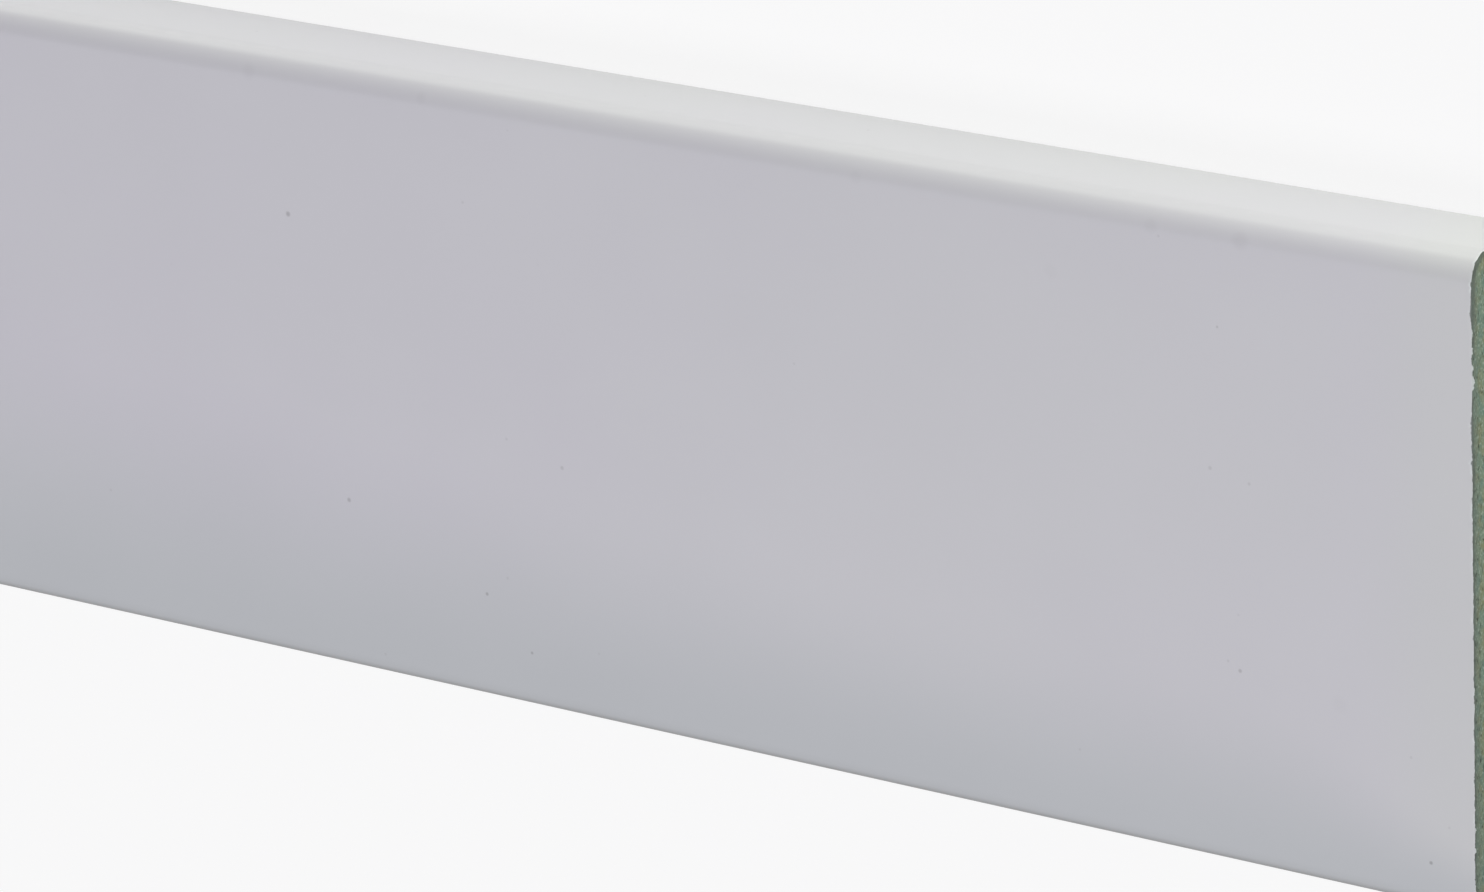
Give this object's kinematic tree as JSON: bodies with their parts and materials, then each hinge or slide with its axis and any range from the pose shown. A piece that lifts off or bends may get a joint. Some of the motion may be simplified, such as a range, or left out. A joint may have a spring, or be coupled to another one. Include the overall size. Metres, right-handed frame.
{
  "type": "architrave",
  "caption": "Flat primed MDF architrave moulding with one pencil-rounded edge, square-cut green moisture-resistant ends and a bare back, in a stock length.",
  "frame": {"origin": "middle of the back face, which lies on the floor", "axes": "+X along the length, +Y across the face towards the rounded edge, +Z out of the face"},
  "size_m": [2.44, 0.07, 0.012],
  "materials": {
    "primed_mdf": "smooth white primer on the face and long edges, sawn green fibreboard on the ends and back"
  },
  "bodies": {
    "root": {"architrave": "primed_mdf"}
  },
  "joints": []
}
